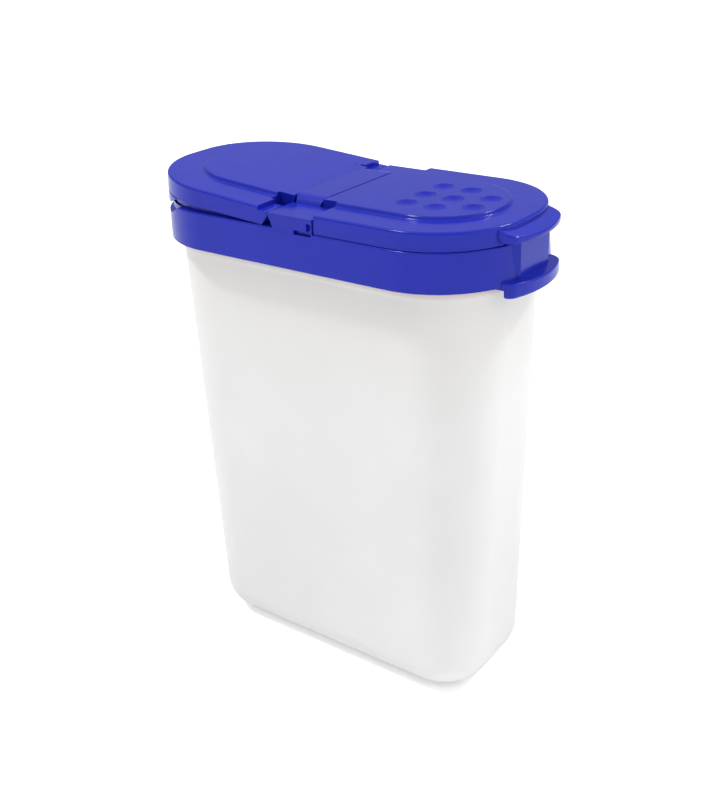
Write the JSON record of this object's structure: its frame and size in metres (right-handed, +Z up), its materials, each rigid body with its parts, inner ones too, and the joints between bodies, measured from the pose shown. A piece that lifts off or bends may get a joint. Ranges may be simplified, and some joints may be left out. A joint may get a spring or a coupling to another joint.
{
  "type": "spice dispenser",
  "caption": "Tall oval spice container with a press-on seal; one hinged flap opens a D-shaped pouring mouth, the other opens round sifting holes.",
  "frame": {"origin": "middle of the underside of the base, on the surface it stands on", "axes": "+Z up; +X along the long side towards the shaker flap and the thumb tabs; -Y is the front long side"},
  "size_m": [0.0972, 0.0474, 0.1219],
  "materials": {
    "frosted_container": "frosted, slightly translucent moulded plastic",
    "blue_plastic": "satin to glossy moulded plastic"
  },
  "bodies": {
    "container": {"container": "frosted_container"},
    "seal": {"seal": "blue_plastic"},
    "pour_flap": {"pour_flap": "blue_plastic"},
    "shaker_flap": {"shaker_flap": "blue_plastic"}
  },
  "joints": [
    {"name": "seal_lift", "type": "slide", "parent": "container", "child": "seal", "axis": [0, 0, 1], "range_m": [0, 0.03]},
    {"name": "pour_flap_hinge", "type": "hinge", "parent": "seal", "child": "pour_flap", "pos_m": [-0.00765, 0, 0.1173], "axis": [0, 1, 0], "range_deg": [-4.3, 85.7]},
    {"name": "shaker_flap_hinge", "type": "hinge", "parent": "seal", "child": "shaker_flap", "pos_m": [0.00525, 0, 0.1173], "axis": [0, -1, 0], "range_deg": [0, 90]}
  ]
}
